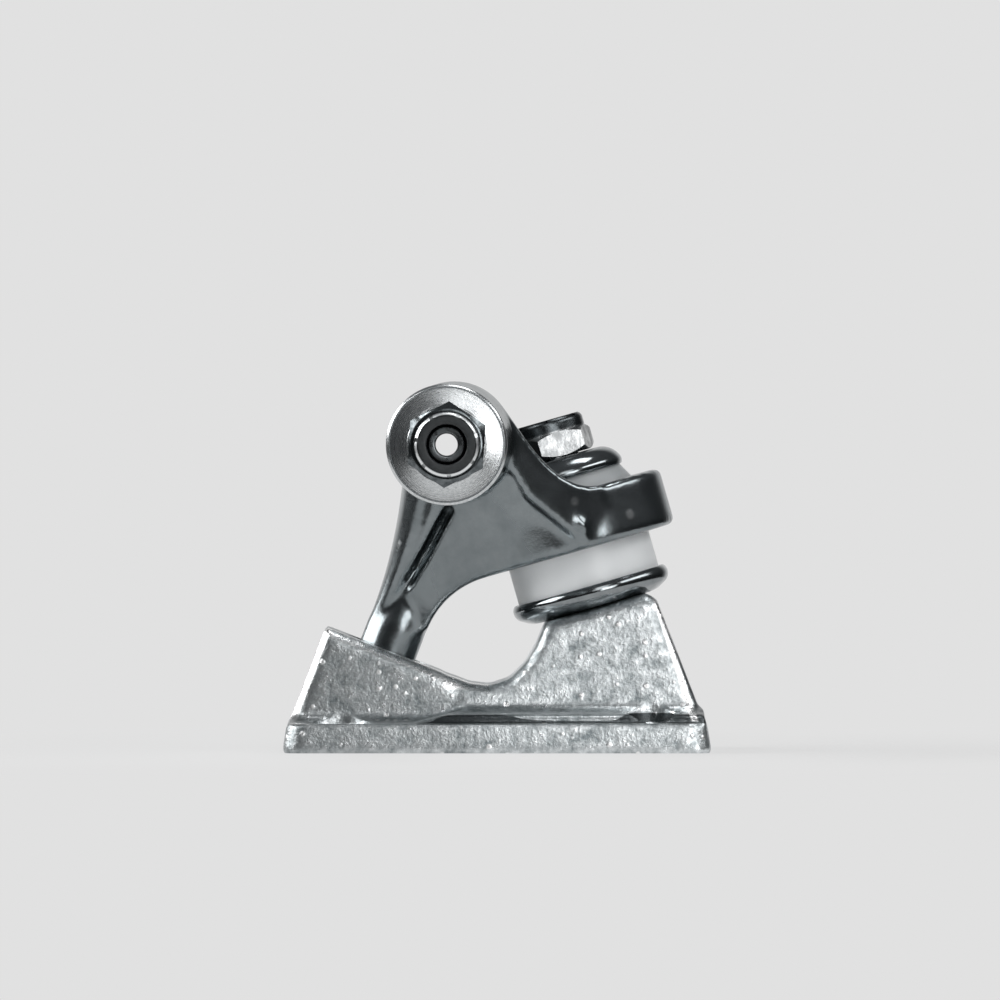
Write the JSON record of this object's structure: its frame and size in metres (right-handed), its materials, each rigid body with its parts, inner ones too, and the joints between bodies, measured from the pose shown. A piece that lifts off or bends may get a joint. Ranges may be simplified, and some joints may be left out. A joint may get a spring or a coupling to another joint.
{
  "type": "skateboard truck",
  "caption": "Skateboard truck: cast baseplate with pivot cup and kingpin, and a hanger with a hollow axle that steers between two urethane bushings.",
  "frame": {"origin": "centre of the baseplate's flat deck face, at the middle of its length and width", "axes": "+X from the pivot towards the kingpin, +Y along the axle, +Z away from the deck"},
  "size_m": [0.075, 0.2078, 0.0647],
  "materials": {
    "cast_aluminium": "tumbled sand casting, speckled, with bright worn edges",
    "satin_aluminium": "smooth satin casting with turned end faces",
    "steel": "turned steel, bright zinc",
    "dark_chrome": "glossy pressed steel cup",
    "plated_nut": "bright plated lock nut",
    "urethane": "milky white cast urethane",
    "nylon": "dark nylon lock ring"
  },
  "bodies": {
    "base": {"baseplate": "cast_aluminium", "pivot_cup": "urethane", "kingpin": "steel", "lower_washer": "dark_chrome", "lower_bushing": "urethane", "upper_bushing": "urethane", "upper_washer": "dark_chrome"},
    "kingpin_nut": {"kingpin_nut": "plated_nut", "kingpin_nut_insert": "nylon"},
    "hanger": {"hanger": "satin_aluminium", "axle": "steel"},
    "near_inner_washer": {"near_inner_washer": "steel"},
    "near_outer_washer": {"near_outer_washer": "steel"},
    "near_axle_nut": {"near_axle_nut": "plated_nut", "near_axle_nut_insert": "nylon"},
    "far_inner_washer": {"far_inner_washer": "steel"},
    "far_outer_washer": {"far_outer_washer": "steel"},
    "far_axle_nut": {"far_axle_nut": "plated_nut", "far_axle_nut_insert": "nylon"}
  },
  "joints": [
    {"name": "steer", "type": "hinge", "parent": "base", "child": "hanger", "pos_m": [-0.0217, 0, 0.0108], "axis": [0.7662, 0, 0.6426], "range_deg": [-12, 12], "stiffness_Nm_per_rad": 12, "deforming": ["lower_bushing", "upper_bushing"]},
    {"name": "kingpin_nut_turn", "type": "hinge", "parent": "base", "child": "kingpin_nut", "pos_m": [0.0245, 0, 0], "axis": [-0.2756, 0, 0.9613], "continuous": true},
    {"name": "near_axle_nut_turn", "type": "hinge", "parent": "hanger", "child": "near_axle_nut", "pos_m": [-0.00877, -0.1, 0.05365], "axis": [0, -1, 0], "continuous": true},
    {"name": "far_axle_nut_turn", "type": "hinge", "parent": "hanger", "child": "far_axle_nut", "pos_m": [-0.00877, 0.1, 0.05365], "axis": [0, 1, 0], "continuous": true},
    {"name": "near_inner_washer_slide", "type": "slide", "parent": "hanger", "child": "near_inner_washer", "axis": [0, -1, 0], "range_m": [0, 0.0118]},
    {"name": "near_outer_washer_slide", "type": "slide", "parent": "hanger", "child": "near_outer_washer", "axis": [0, 1, 0], "range_m": [0, 0.0118]},
    {"name": "far_inner_washer_slide", "type": "slide", "parent": "hanger", "child": "far_inner_washer", "axis": [0, 1, 0], "range_m": [0, 0.0118]},
    {"name": "far_outer_washer_slide", "type": "slide", "parent": "hanger", "child": "far_outer_washer", "axis": [0, -1, 0], "range_m": [0, 0.0118]}
  ]
}
